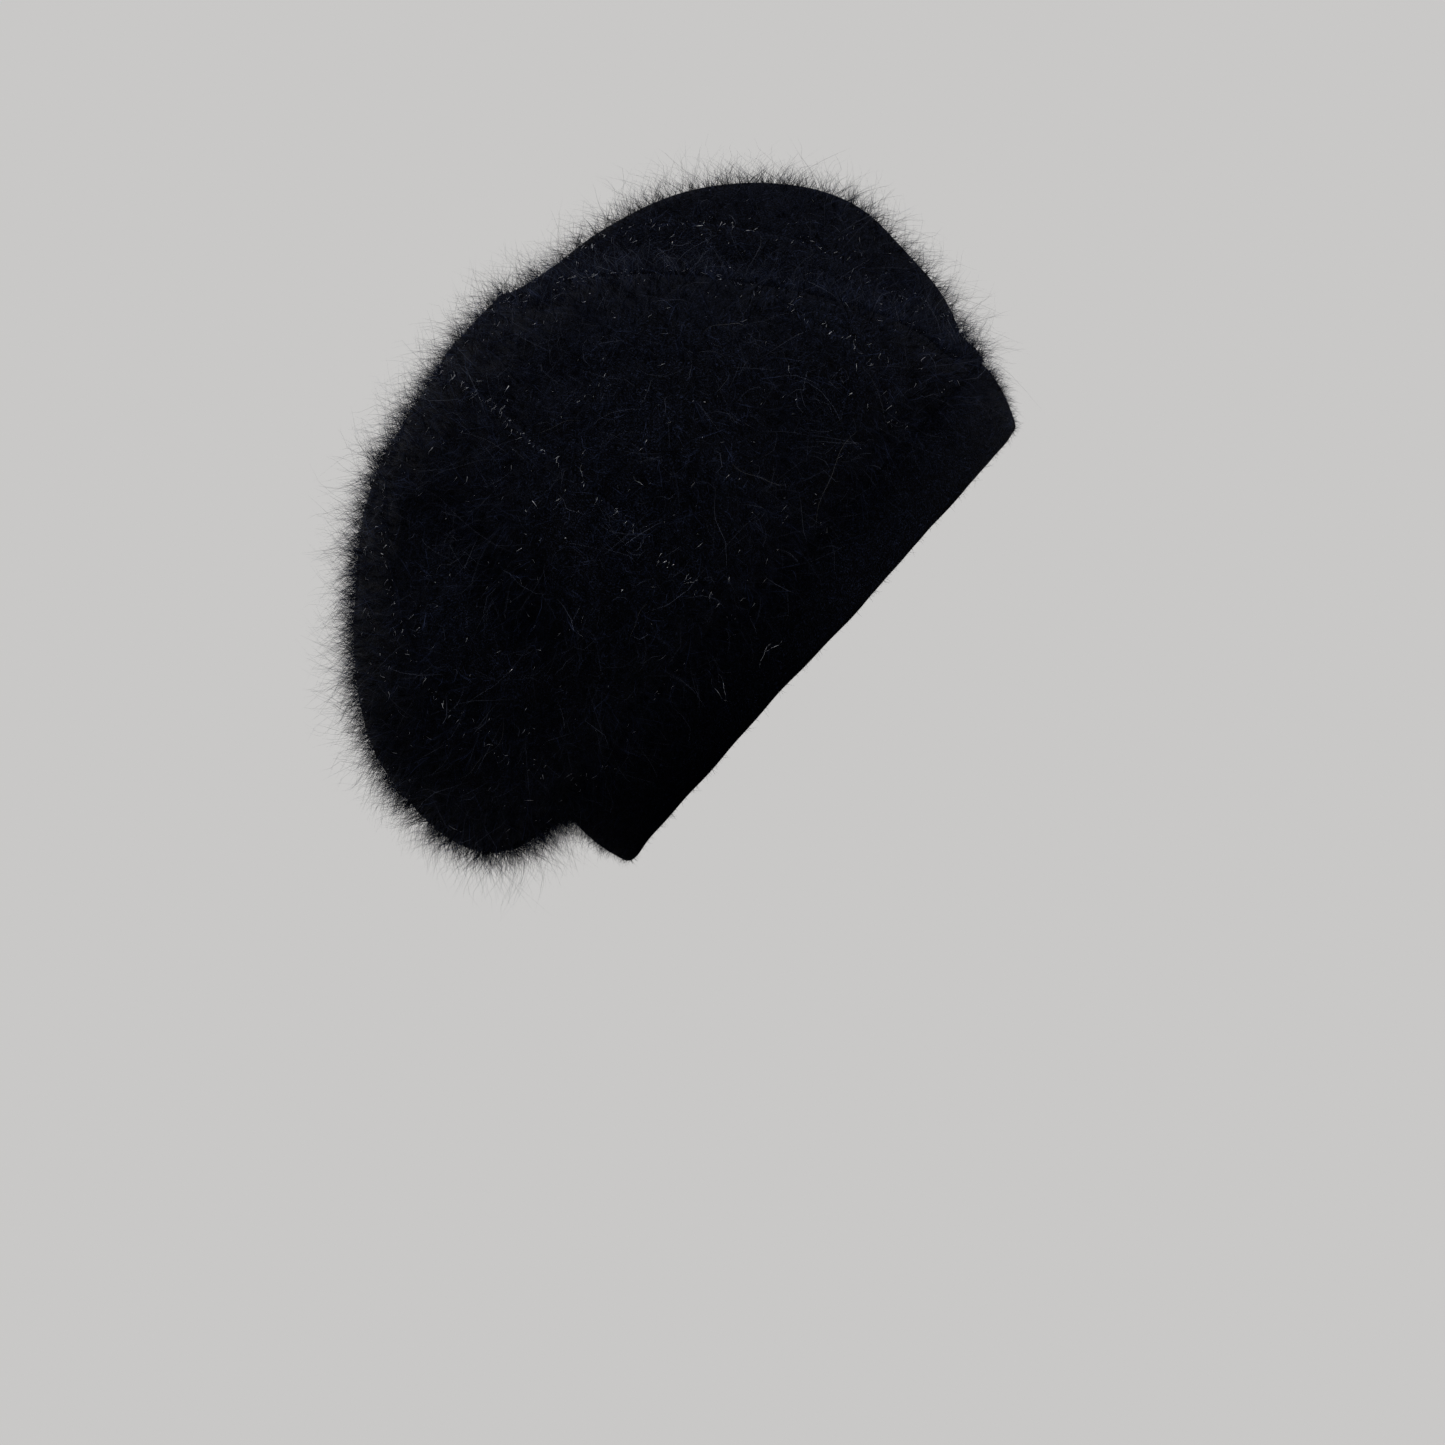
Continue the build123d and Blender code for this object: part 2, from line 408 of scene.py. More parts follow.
def panel(name, points, knit):
    """A sheet of faces over a grid of points in rows, with the knit map in metres."""
    rows, columns = points.shape[:2]
    bpy.ops.object.select_all(action="DESELECT")
    bpy.ops.mesh.primitive_grid_add(x_subdivisions=columns - 1, y_subdivisions=rows - 1, size=1)
    piece = bpy.context.object
    piece.name = name
    piece.data.name = name
    piece.data.vertices.foreach_set("co", points.reshape(-1))
    piece.data.uv_layers[0].name = "knit"
    corners = np.zeros(len(piece.data.loops), np.int32)
    piece.data.loops.foreach_get("vertex_index", corners)
    piece.data.uv_layers[0].data.foreach_set("uv", knit.reshape(-1, 2)[corners].reshape(-1))
    piece.data.update()
    return piece


def pick_up(piece):
    """Selects one piece alone, for the tools that work on what is selected."""
    bpy.ops.object.select_all(action="DESELECT")
    piece.select_set(True)
    bpy.context.view_layer.objects.active = piece


def apply_modifier(piece, name, kind, **settings):
    """Adds a modifier to a piece and applies it."""
    pick_up(piece)
    made = piece.modifiers.new(name, kind)
    for key, value in settings.items():
        setattr(made, key, value)
    bpy.ops.object.modifier_apply(modifier=made.name)


def knit_map(points):
    """Metres across from the middle column and up from the first row, for every point of a panel."""
    rows, columns = points.shape[:2]
    across = np.zeros((rows, columns))
    across[:, 1:] = np.cumsum(np.linalg.norm(np.diff(points, axis=1), axis=2), axis=1)
    across -= across[:, columns // 2][:, None]
    along = np.zeros((rows, columns))
    along[1:] = np.cumsum(np.linalg.norm(np.diff(points, axis=0), axis=2), axis=0)
    return np.stack([across, along], axis=2)


def gore_points(number):
    """The points of one gore, with its selvedges drawn into the seams and its middle filled."""
    picked = [(number * gore_columns + c) % crown.shape[1] for c in range(gore_columns + 1)]
    points = crown[:, picked].copy()
    normals = crown_outward[:, picked]
    share = np.linspace(0, 1, gore_columns + 1)
    fill = gore_fill * np.sin(math.pi * share) - selvedge_dip * np.abs(np.cos(math.pi * share)) ** 6
    points += normals * fill[None, :, None]
    inwards = points[:, 1] - points[:, 0]
    points[:, 0] += selvedge_gap * inwards / np.linalg.norm(inwards, axis=1, keepdims=True)
    inwards = points[:, -2] - points[:, -1]
    points[:, -1] += selvedge_gap * inwards / np.linalg.norm(inwards, axis=1, keepdims=True)
    return points


def skin_of(piece):
    """A piece's points, faces as triangles and outward directions, kept to root the fluff in."""
    mesh = piece.data
    mesh.calc_loop_triangles()
    points = np.zeros(len(mesh.vertices) * 3)
    mesh.vertices.foreach_get("co", points)
    normals = np.zeros(len(mesh.vertices) * 3)
    mesh.vertex_normals.foreach_get("vector", normals)
    triangles = np.zeros(len(mesh.loop_triangles) * 3, np.int32)
    mesh.loop_triangles.foreach_get("vertices", triangles)
    return points.reshape(-1, 3), triangles.reshape(-1, 3), normals.reshape(-1, 3)


gore_skins = []
for number in range(gore_count):
    points = gore_points(number)
    measure = knit_map(points)
    gore = panel(f"knit_gore_{number + 1}", points, measure)
    apply_modifier(gore, "fine", "SUBSURF", levels=1, render_levels=1, boundary_smooth="ALL")
    gore_skins.append(skin_of(gore))
    apply_modifier(gore, "thickness", "SOLIDIFY", thickness=knit_thickness, offset=-1, use_even_offset=False)
    bpy.ops.object.shade_smooth()
    gore.data.materials.append(knit_material)
    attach(gore, "root")
    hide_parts(gore_nodes[number])
    width = float(np.ptp(measure[..., 0], axis=1).max())

# ---------------------------------------------------------------- band
# One knitted tube folded in half, the fold at the bottom, its two ends meeting at the back. It is made of
# the crown's yarn and grips the head; its edge wanders a little where the fluff pulls it.
band_columns = 220
band_wall_rows = 9
fold_rows = 7
layer = 0.0022
band_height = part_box("band")[1].z
band_faces = cad_faces("band", "band_back_seam")
band_wall = 0.0056
band_rise = 0.0003
belly_depth = 0.0016
edge_tuck = 0.0004
back_gap = 0.0014
back_radius = 0.1
lowest_measured = 0.003
highest_measured = band_height - 0.0005


def band_face(angle, height):
    """The outer face of the band at an angle from +X and a height."""
    level = Vector((math.cos(angle), math.sin(angle), 0))
    measured = min(max(height, lowest_measured), highest_measured)
    return outer_point(band_faces, Vector((0, 0, measured)), level), level


def belly(height):
    """How far the band's soft middle stands out past its straight face."""
    share = min(max(height / band_height, 0), 1)
    return belly_depth * math.sin(math.pi * share) ** 0.8 - edge_tuck * (1 - share)


def band_path():
    """Inset from the outer face and height of the middle of the knit, from the inner top round the fold."""
    fold = (band_wall - layer) / 2
    path = []
    top = band_height + band_rise
    for height in np.linspace(top, layer / 2 + fold, band_wall_rows, endpoint=False):
        path.append((band_wall - layer / 2, height))
    for turn in np.linspace(0, math.pi, fold_rows):
        path.append((layer / 2 + fold + fold * math.cos(turn), layer / 2 + fold - fold * math.sin(turn)))
    for height in np.linspace(layer / 2 + fold, top, band_wall_rows + 1)[1:]:
        path.append((layer / 2, height))
    return path


def knit_stray(angle, height):
    """How far the band's knit strays from its even shape, for a soft uneven edge."""
    slow = 0.0005 * math.sin(3 * angle + 1.1) + 0.0003 * math.sin(7 * angle + 0.4 + 60 * height)
    return slow + 0.00015 * math.sin(19 * angle + 2.0 + 200 * height)


def band_points():
    """The band's points in rows along its folded path and columns from one end round to the other."""
    path = band_path()
    half_gap = back_gap / 2 / back_radius
    angles = math.pi / 2 + np.linspace(half_gap, 2 * math.pi - half_gap, band_columns + 1)
    points = np.zeros((len(path), band_columns + 1, 3))
    for column, angle in enumerate(angles):
        for row, (inset, height) in enumerate(path):
            found, level = band_face(angle, height)
            stray = knit_stray(angle, height)
            points[row, column] = found - level * (inset + stray - belly(height))
            edge_stray = knit_stray(angle + 1.7, 0.0) * (1 - height / band_height)
            points[row, column, 2] = height + edge_stray
    return points


points = band_points()
band_measure = knit_map(points)
band = panel("knit_band", points, band_measure)
apply_modifier(band, "fine", "SUBSURF", levels=1, render_levels=1, boundary_smooth="ALL")
band_skin = skin_of(band)
apply_modifier(band, "thickness", "SOLIDIFY", thickness=layer, offset=0, use_even_offset=False)
bpy.ops.object.shade_smooth()
band.data.materials.append(knit_material)
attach(band, "root")
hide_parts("band")

# ---------------------------------------------------------------- elastic
# A flat braided elastic tape lies in the fold of the band, between its two layers, where it doesn't show.
# Its shape is the frame's own piece, and only its material is made here.
elastic_rib = 0.0009


def braided_elastic():
    """Black elastic: fine ribs of braided polyester over rubber."""
    made = bpy.data.materials.new("braided_elastic")
    made.use_nodes = True
    tree = made.node_tree
    shader = tree.nodes["Principled BSDF"]
    body = put(tree, "ShaderNodeTexCoord")
    ribs = put(
        tree,
        "ShaderNodeTexWave",
        {"Vector": body.outputs["Object"], "Scale": 0.5 / elastic_rib / 5, "Distortion": 0.4},
        bands_direction="Z",
    )
    shade = put(
        tree,
        "ShaderNodeMix",
        {0: ribs.outputs["Fac"], 6: linear("#0b0b0d"), 7: linear("#1b1b1f")},
        data_type="RGBA",
    )
    bump = put(tree, "ShaderNodeBump", {"Height": ribs.outputs["Fac"], "Distance": 0.0002})
    tree.links.new(shade.outputs[2], shader.inputs["Base Color"])
    tree.links.new(bump.outputs[0], shader.inputs["Normal"])
    shader.inputs["Roughness"].default_value = 0.7
    return made


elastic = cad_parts["band_elastic"]
elastic.data.materials.clear()
elastic.data.materials.append(braided_elastic())

# ---------------------------------------------------------------- linked seams
# The gores are linked loop to loop with the same yarn, twisted in pairs: one pair lies in the groove outside
# and one holds the selvedges as a ridge inside. Three such pairs link the band to the crown.
seam_twist = 0.0034
turn_steps = 6
gore_ply = 0.0006
band_ply = 0.0008
back_ply = 0.0007
ring_columns = 240
ring_insets = (0.0017, 0.0036, 0.0055)
ring_lift = 0.0002


def plied_yarn():
    """The hat's yarn as two matt blue-black plies; painted shade where its fibres sink, painted light where
    they rise.
    """
    made = bpy.data.materials.new("plied_linking_yarn")
    made.use_nodes = True
    tree = made.node_tree
    shader = tree.nodes["Principled BSDF"]
    body = put(tree, "ShaderNodeTexCoord")
    where = body.outputs["Object"]
    fibres = put(tree, "ShaderNodeTexNoise", {"Vector": where, "Scale": 1500.0, "Detail": 3.0})
    # Painted shade and light: the fibre height that drives the bump also darkens the low fibres and lightens
    # the high ones.
    shade = put(
        tree,
        "ShaderNodeMix",
        {0: fibres.outputs["Fac"], 6: linear(knit_colours["gap"]), 7: linear(knit_colours["worn_and_lit"])},
        data_type="RGBA",
    )
    bump = put(tree, "ShaderNodeBump", {"Height": fibres.outputs["Fac"], "Distance": 0.0002})
    tree.links.new(shade.outputs[2], shader.inputs["Base Color"])
    tree.links.new(bump.outputs[0], shader.inputs["Normal"])
    shader.inputs["Roughness"].default_value = 0.9
    shader.inputs["Specular IOR Level"].default_value = 0.1
    return made


yarn_material = plied_yarn()


def evenly(points, step):
    """The points of a line spaced again at an even step."""
    points = np.asarray(points, float)
    reach = np.concatenate([[0], np.cumsum(np.linalg.norm(np.diff(points, axis=0), axis=1))])
    places = np.linspace(0, reach[-1], max(2, int(reach[-1] / step)))
    return np.stack([np.interp(places, reach, points[:, i]) for i in range(3)], axis=1)


def piece_from_curve(name, curve, material):
    """A drawn line made into a mesh piece of one material."""
    made = bpy.data.objects.new(name, curve)
    bpy.context.scene.collection.objects.link(made)
    pick_up(made)
    bpy.ops.object.convert(target="MESH")
    bpy.ops.object.shade_smooth()
    made.data.materials.append(material)
    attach(made, "root")
    return made


def twisted_pair(name, paths, ply, closed=False):
    """Two plies twisted round every path given, as one mesh piece."""
    curve = bpy.data.curves.new(name, "CURVE")
    curve.dimensions = "3D"
    curve.bevel_depth = ply
    curve.bevel_resolution = 0
    curve.use_fill_caps = True
    for path, outward in paths:
        line = evenly(path, seam_twist / turn_steps)
        up = evenly(outward, seam_twist / turn_steps) if len(outward) == len(path) else outward
        along = np.gradient(line, axis=0)
        along /= np.linalg.norm(along, axis=1, keepdims=True)
        first = np.cross(along, np.cross(np.resize(up, line.shape), along))
        first /= np.maximum(np.linalg.norm(first, axis=1, keepdims=True), 1e-9)
        second = np.cross(along, first)
        turn = 2 * math.pi * np.arange(len(line)) / turn_steps
        for phase in (0, math.pi):
            swing = ply * (np.cos(turn + phase)[:, None] * first + np.sin(turn + phase)[:, None] * second)
            spline = curve.splines.new("POLY")
            spline.points.add(len(line) - 1)
            places = np.concatenate([line + swing, np.ones((len(line), 1))], axis=1)
            spline.points.foreach_set("co", places.reshape(-1))
            spline.use_cyclic_u = closed
    made = piece_from_curve(name, curve, yarn_material)
    return made


seam_sink = 0.0010
ridge_sink = 0.0042
for number in range(gore_count):
    column = number * gore_columns
    line, outward = crown[:, column], crown_outward[:, column]
    paths = [(line - outward * seam_sink, outward), (line - outward * ridge_sink, outward)]
    seam = twisted_pair(f"gore_linking_{number + 1}", paths, gore_ply)
    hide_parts(seam_nodes[number])

ring_angles = np.linspace(0, 2 * math.pi, ring_columns, endpoint=False)
ring = [band_face(angle, band_height) for angle in ring_angles]
ring_height = Vector((0, 0, crown_base + ring_lift))


def ring_path(inset):
    """A closed line round the top of the band, drawn in from its outer face."""
    return [list(Vector((found.x, found.y, 0)) - level * inset + ring_height) for found, level in ring]


ring_out = [list(level) for _, level in ring]
ring_lines = [(ring_path(inset), ring_out) for inset in ring_insets]
band_linking = twisted_pair("band_linking", ring_lines, band_ply, closed=True)
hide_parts("crown_band_seam")

back_path = [
    [0.0, band_face(math.pi / 2, height)[0].y - inset, height] for inset, height in band_path()
]
back_out = [[0, 1, 0.05]] * len(back_path)
back_linking = twisted_pair("band_back_linking", [(back_path, back_out)], back_ply)
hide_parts("band_back_seam")

# ---------------------------------------------------------------- crown centre
# The last loops of every gore are drawn up on the yarn's end and fastened off, which leaves a small
# puckered disc with a dimple in it.
disc_columns = 48
disc_rows = 8
drawn_in = 0.97
pucker_height = 0.0007
dimple_depth = 0.0012
disc_sink = 0.0004


def drawn_centre():
    """The puckered disc that closes the hole where the gores meet."""
    edge = crown[-1]
    middle = edge.mean(axis=0)
    picked = np.linspace(0, len(edge), disc_columns + 1) % len(edge)
    closed_edge = np.concatenate([edge, edge[:1]])
    places = np.arange(len(closed_edge))
    around = np.stack([np.interp(picked, places, closed_edge[:, i]) for i in range(3)], 1)
    around = np.concatenate([around[:-1], around[:1]])
    points = np.zeros((disc_rows + 1, disc_columns + 1, 3))
    turns = np.linspace(0, 2 * math.pi, disc_columns + 1)
    for row in range(disc_rows + 1):
        share = row / disc_rows
        points[row] = around * (1 - share * drawn_in) + middle * share * drawn_in
        pucker = pucker_height * math.sin(math.pi * share) * np.cos(gore_count * turns)
        points[row, :, 2] += pucker - dimple_depth * share**2 - disc_sink
    return points


points = drawn_centre()
centre_disc = panel("drawn_centre", points, knit_map(points))
bpy.ops.object.mode_set(mode="EDIT")
bpy.ops.mesh.select_all(action="SELECT")
bpy.ops.mesh.remove_doubles(threshold=0.00005)
bpy.ops.object.mode_set(mode="OBJECT")
apply_modifier(centre_disc, "fine", "SUBSURF", levels=1, render_levels=1)
centre_skin = skin_of(centre_disc)
apply_modifier(centre_disc, "thickness", "SOLIDIFY", thickness=knit_thickness, offset=-1)
bpy.ops.object.shade_smooth()
centre_disc.data.materials.append(knit_material)
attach(centre_disc, "root")
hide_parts("crown_closing")

# ---------------------------------------------------------------- labels
# A blank black damask size label is sewn into the back of the band, and a blank white satin care label
# hangs at the wearer's left. Both lie on the band's inner face and are sewn with fine black thread.
damask_thread = 0.00035
satin_thread = 0.0002
sewing_radius = 0.00012
sewing_rise = 0.0004
label_rows = 14
label_columns = 30
label_bend_radius = 0.095


def woven_tape(name, thread, dark, light, gloss):
    """A ribbon with fine threads across it, drawn on the label's own map."""
    made = bpy.data.materials.new(name)
    made.use_nodes = True
    tree = made.node_tree
    shader = tree.nodes["Principled BSDF"]
    cloth = put(tree, "ShaderNodeUVMap", uv_map="knit")
    where = cloth.outputs[0]
    weft = put(tree, "ShaderNodeTexWave", {"Vector": where, "Scale": 0.5 / thread / 5}, bands_direction="Y")
    warp = put(tree, "ShaderNodeTexWave", {"Vector": where, "Scale": 0.4 / thread / 5}, bands_direction="X")
    crossing = {0: weft.outputs["Fac"], 1: warp.outputs["Fac"]}
    weave = put(tree, "ShaderNodeMath", crossing, operation="MULTIPLY")
    shade = put(
        tree, "ShaderNodeMix", {0: weave.outputs[0], 6: linear(dark), 7: linear(light)}, data_type="RGBA"
    )
    bump = put(tree, "ShaderNodeBump", {"Height": weave.outputs[0], "Distance": 0.00006})
    tree.links.new(shade.outputs[2], shader.inputs["Base Color"])
    tree.links.new(bump.outputs[0], shader.inputs["Normal"])
    shader.inputs["Roughness"].default_value = gloss
    return made


def label_points(middle_angle, low, high, width, lift, sag):
    """The points of a label lying on the band's inner face."""
    points = np.zeros((label_rows + 1, label_columns + 1, 3))
    for row in range(label_rows + 1):
        for column in range(label_columns + 1):
            share = column / label_columns - 0.5
            height = low + (high - low) * row / label_rows
            found, level = band_face(middle_angle - share * width / label_bend_radius, height)
            ripple = 0.00025 * math.sin(9 * share + 6 * row / label_rows)
            ripple += sag * (1 - row / label_rows) ** 2
            points[row, column] = found - level * (band_wall + lift + ripple)
            points[row, column, 2] = height
    return points


def make_label(name, node, material, points, thickness):
    """A woven label as a thin closed sheet."""
    label = panel(name, points, knit_map(points))
    apply_modifier(label, "thickness", "SOLIDIFY", thickness=thickness, offset=0)
    bpy.ops.object.shade_smooth()
    label.data.materials.append(material)
    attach(label, "root")
    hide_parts(node)
    return label


def row_of_stitches(name, node, lines):
    """Short thread stitches along the lines given, each from one hole to the next."""
    curve = bpy.data.curves.new(name, "CURVE")
    curve.dimensions = "3D"
    curve.bevel_depth = sewing_radius
    curve.bevel_resolution = 1
    curve.use_fill_caps = True
    for start, end, rise in lines:
        start, end, rise = Vector(start), Vector(end), Vector(rise)
        spline = curve.splines.new("POLY")
        spline.points.add(4)
        for step in range(5):
            share = step / 4
            place = start.lerp(end, share) + rise * (math.sin(math.pi * share) - 0.35)
            spline.points[step].co = (*place, 1)
    made = piece_from_curve(name, curve, thread_material)
    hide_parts(node)


def spun_thread():
    """Black sewing thread of spun polyester, with its twist running round it."""
    made = bpy.data.materials.new("spun_polyester_thread")
    made.use_nodes = True
    tree = made.node_tree
    shader = tree.nodes["Principled BSDF"]
    body = put(tree, "ShaderNodeTexCoord")
    twist = put(
        tree,
        "ShaderNodeTexWave",
        {"Vector": body.outputs["Object"], "Scale": 900.0},
        bands_direction="DIAGONAL",
    )
    shade = put(
        tree,
        "ShaderNodeMix",
        {0: twist.outputs["Fac"], 6: linear("#0a0a0c"), 7: linear("#2a2a2e")},
        data_type="RGBA",
    )
    tree.links.new(shade.outputs[2], shader.inputs["Base Color"])
    shader.inputs["Roughness"].default_value = 0.45
    return made


thread_material = spun_thread()

label_low, label_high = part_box("size_label")[0].z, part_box("size_label")[1].z
back_angle, left_angle = math.pi / 2, 0.0
size_points = label_points(back_angle, label_low, label_high, width=0.050, lift=0.00035, sag=0.0)
damask = woven_tape("blank_damask_label", damask_thread, "#121216", "#26262c", 0.5)
size_label = make_label("blank_size_label", "size_label", damask, size_points, 0.0005)
care_low, care_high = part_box("care_label")[0].z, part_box("care_label")[1].z
care_points = label_points(left_angle, care_low, care_high, width=0.025, lift=0.0003, sag=0.0012)
satin = woven_tape("blank_satin_label", satin_thread, "#cfcdc8", "#efeeea", 0.3)
care_label = make_label("blank_care_label", "care_label", satin, care_points, 0.0003)

size_lines = []
for column in (1, label_columns - 1):
    for row in range(1, label_rows - 1, 2):
        here, there = size_points[row, column], size_points[row + 1, column]
        size_lines.append((here, there, (0, -sewing_rise, 0)))
row_of_stitches("size_label_sewing", "size_label_stitches", size_lines)
care_lines = []
for column in range(2, label_columns - 2, 2):
    here, there = care_points[label_rows - 2, column], care_points[label_rows - 2, column + 1]
    care_lines.append((here, there, (-sewing_rise, 0, 0)))
row_of_stitches("care_label_sewing", "care_label_stitches", care_lines)

# ---------------------------------------------------------------- angora fluff
# Fine angora hairs stand out of the yarn all over: a thick bloom of short soft ones, and fewer long guard
# hairs that stray from it. Each hair is a closed tapered strand, made in bulk from arrays because hundreds
# of thousands of faces can't be shaped by hand.
hair_luck = np.random.default_rng(1846)
hair_share = 1.0
stray_room = 0.0138
tuft_width = 0.00022


def scatter_roots(skins, count, tuft=1):
    """Even random places on the skins, with their outward directions, a tuft of hairs at each."""
    places, outs, areas = [], [], []
    for points, triangles, _ in skins:
        sides = [points[triangles[:, i]] for i in range(3)]
        areas.append(np.linalg.norm(np.cross(sides[1] - sides[0], sides[2] - sides[0]), axis=1))
    total = sum(a.sum() for a in areas)
    for (points, triangles, normals), area in zip(skins, areas):
        share = int(round(count * area.sum() / total / tuft))
        picked = hair_luck.choice(len(area), share, p=area / area.sum())
        u, v = hair_luck.random((2, share, 1))
        u, v = np.where(u + v > 1, 1 - u, u), np.where(u + v > 1, 1 - v, v)
        a, b, c = (triangles[picked, i] for i in range(3))
        places.append(points[a] * (1 - u - v) + points[b] * u + points[c] * v)
        outs.append(normals[a] * (1 - u - v) + normals[b] * u + normals[c] * v)
    places = np.repeat(np.concatenate(places), tuft, axis=0)
    outs = np.repeat(np.concatenate(outs), tuft, axis=0)
    places += hair_luck.normal(0, tuft_width if tuft > 1 else 0, places.shape)
    return places, outs / np.linalg.norm(outs, axis=1, keepdims=True)


def unit(vectors):
    """Vectors made one long."""
    return vectors / np.maximum(np.linalg.norm(vectors, axis=1, keepdims=True), 1e-9)


def hair_lines(roots, outs, lengths, joints, droop, curl, tuft=1):
    """The line of every hair: out of the skin, to one side with its tuft, drooping a little and curling."""
    count = len(roots)
    combed = np.repeat(hair_luck.normal(size=(count // tuft, 3)), tuft, axis=0)
    side = unit(np.cross(outs, combed + hair_luck.normal(0, 0.35, (count, 3))))
    other = np.cross(outs, side)
    lean = hair_luck.random((count, 1)) ** 0.7
    start = unit(outs + side * lean)
    bend = side * hair_luck.normal(0.3, 0.6, (count, 1)) + other * hair_luck.normal(0, 0.7, (count, 1))
    phase, turns = hair_luck.random((2, count, 1)) * 2 * math.pi
    lines = np.zeros((count, joints + 1, 3))
    for joint in range(joints + 1):
        t = joint / joints
        twist = turns * t * 1.3 + phase
        wave = curl * t * (np.sin(twist) * side + np.cos(twist) * other)
        sink = -np.array(picture_up) * droop * t * t
        lines[:, joint] = roots + lengths[:, None] * (t * start + 0.5 * t * t * bend + wave + sink)
    return lines


def kept_near(lines):
    """The lines with those that stray far outside the frame's box drawn back to its edge."""
    low, high = np.array(cad_box[0]) - stray_room, np.array(cad_box[1]) + stray_room
    roots = lines[:, :1]
    reach = lines - roots
    to_high = (high - roots) / np.maximum(reach, 1e-9)
    to_low = (low - roots) / np.minimum(reach, -1e-9)
    over = np.where(reach > 0, to_high, to_low)
    return roots + reach * np.clip(over.min(axis=(1, 2)), 0.2, 1)[:, None, None]


def strands(name, lines, thickness, material, tuft=1):
    """A mesh of closed tapered three-sided strands along the lines given."""
    lines = kept_near(lines)
    count, rings = lines.shape[0], lines.shape[1] - 1
    along = unit(lines[:, 1] - lines[:, 0])
    first = unit(np.cross(along, hair_luck.normal(size=(count, 3))))
    second = np.cross(along, first)
    per = rings * 3 + 1
    points = np.zeros((count, per, 3))
    for ring in range(rings):
        radius = thickness[:, None] / 2 * (1 - 0.75 * ring / rings)
        for corner in range(3):
            turn = 2 * math.pi * corner / 3
            away = math.cos(turn) * first + math.sin(turn) * second
            points[:, ring * 3 + corner] = lines[:, ring] + radius * away
    points[:, -1] = lines[:, -1]
    faces = [(2, 1, 0)]
    for ring in range(rings - 1):
        for corner in range(3):
            a, b = ring * 3 + corner, ring * 3 + (corner + 1) % 3
            faces.append((a, b, b + 3))
            faces.append((a, b + 3, a + 3))
    last = (rings - 1) * 3
    for corner in range(3):
        faces.append((last + corner, last + (corner + 1) % 3, per - 1))
    faces = np.array(faces)
    every = (np.arange(count)[:, None, None] * per + faces[None]).reshape(-1, 3)
    mesh = bpy.data.meshes.new(name)
    mesh.vertices.add(count * per)
    mesh.vertices.foreach_set("co", points.reshape(-1))
    mesh.loops.add(len(every) * 3)
    mesh.loops.foreach_set("vertex_index", every.reshape(-1).astype(np.int32))
    mesh.polygons.add(len(every))
    mesh.polygons.foreach_set("loop_start", np.arange(0, len(every) * 3, 3, dtype=np.int32))
    mesh.update(calc_edges=True)
    tone = 0.6 * np.repeat(hair_luck.random(count // tuft), tuft) + 0.4 * hair_luck.random(count)
    rise = np.repeat(np.arange(rings + 1) / rings, 3)[:per]
    across = np.tile([-0.004, 0.0, 0.004], rings + 1)[:per]
    tone_tag = np.clip(tone[:, None] * 0.99 + 0.005 + across[None], 0, 1)
    rise_tag = np.broadcast_to(0.01 + 0.98 * rise, (count, per))
    tags = np.stack([tone_tag, rise_tag], axis=2)
    tag_map = mesh.uv_layers.new(name="OFBake")
    tag_map.data.foreach_set("uv", tags.reshape(-1, 2)[every.reshape(-1)].reshape(-1))
    mesh.polygons.foreach_set("use_smooth", np.ones(len(every), bool))
    made = bpy.data.objects.new(name, mesh)
    bpy.context.scene.collection.objects.link(made)
    mesh.materials.append(material)
    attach(made, "root")


def angora_hair(name, root_colour, tip_colour, other_tip):
    """Dyed angora: dark at the root, a little bluer and lighter at the tip, each hair its own shade."""
    made = bpy.data.materials.new(name)
    made.use_nodes = True
    tree = made.node_tree
    shader = tree.nodes["Principled BSDF"]
    tag = put(tree, "ShaderNodeUVMap", uv_map="OFBake")
    parts = put(tree, "ShaderNodeSeparateXYZ", {0: tag.outputs[0]})
    rare = put(tree, "ShaderNodeMath", {0: parts.outputs[0], 1: 4.0}, operation="POWER")
    tip = put(
        tree,
        "ShaderNodeMix",
        {0: rare.outputs[0], 6: linear(tip_colour), 7: linear(other_tip)},
        data_type="RGBA",
    )
    outer = put(tree, "ShaderNodeMath", {0: parts.outputs[1], 1: 1.4}, operation="POWER")
    shade = put(
        tree,
        "ShaderNodeMix",
        {0: outer.outputs[0], 6: linear(root_colour), 7: tip.outputs[2]},
        data_type="RGBA",
    )
    tree.links.new(shade.outputs[2], shader.inputs["Base Color"])
    shader.inputs["Roughness"].default_value = 0.6
    shader.inputs["Specular IOR Level"].default_value = 0.02
    return made


fluff_material = angora_hair("dyed_angora_fluff", "#000002", "#020409", "#616e98")
guard_material = angora_hair("dyed_angora_guard_hair", "#030306", "#141a2b", "#a6adc4")

fluff_count = 6400
fluff_tuft = 3
for number in range(gore_count):
    roots, outs = scatter_roots([gore_skins[number]], int(fluff_count * hair_share), fluff_tuft)
    lengths = 0.0030 + 0.0085 * hair_luck.random(len(roots)) ** 1.5
    lines = hair_lines(roots, outs, lengths, joints=3, droop=0.10, curl=0.16, tuft=fluff_tuft)
    width = hair_luck.uniform(0.00010, 0.00020, len(roots))
    strands(f"angora_fluff_{number + 1}", lines, width, fluff_material, fluff_tuft)

centre_count = 260
roots, outs = scatter_roots([centre_skin], centre_count, fluff_tuft)
lengths = 0.003 + 0.004 * hair_luck.random(len(roots))
lines = hair_lines(roots, outs, lengths, joints=3, droop=0.10, curl=0.16, tuft=fluff_tuft)
width = hair_luck.uniform(0.00009, 0.00017, len(roots))
strands("angora_fluff_centre", lines, width, fluff_material, fluff_tuft)

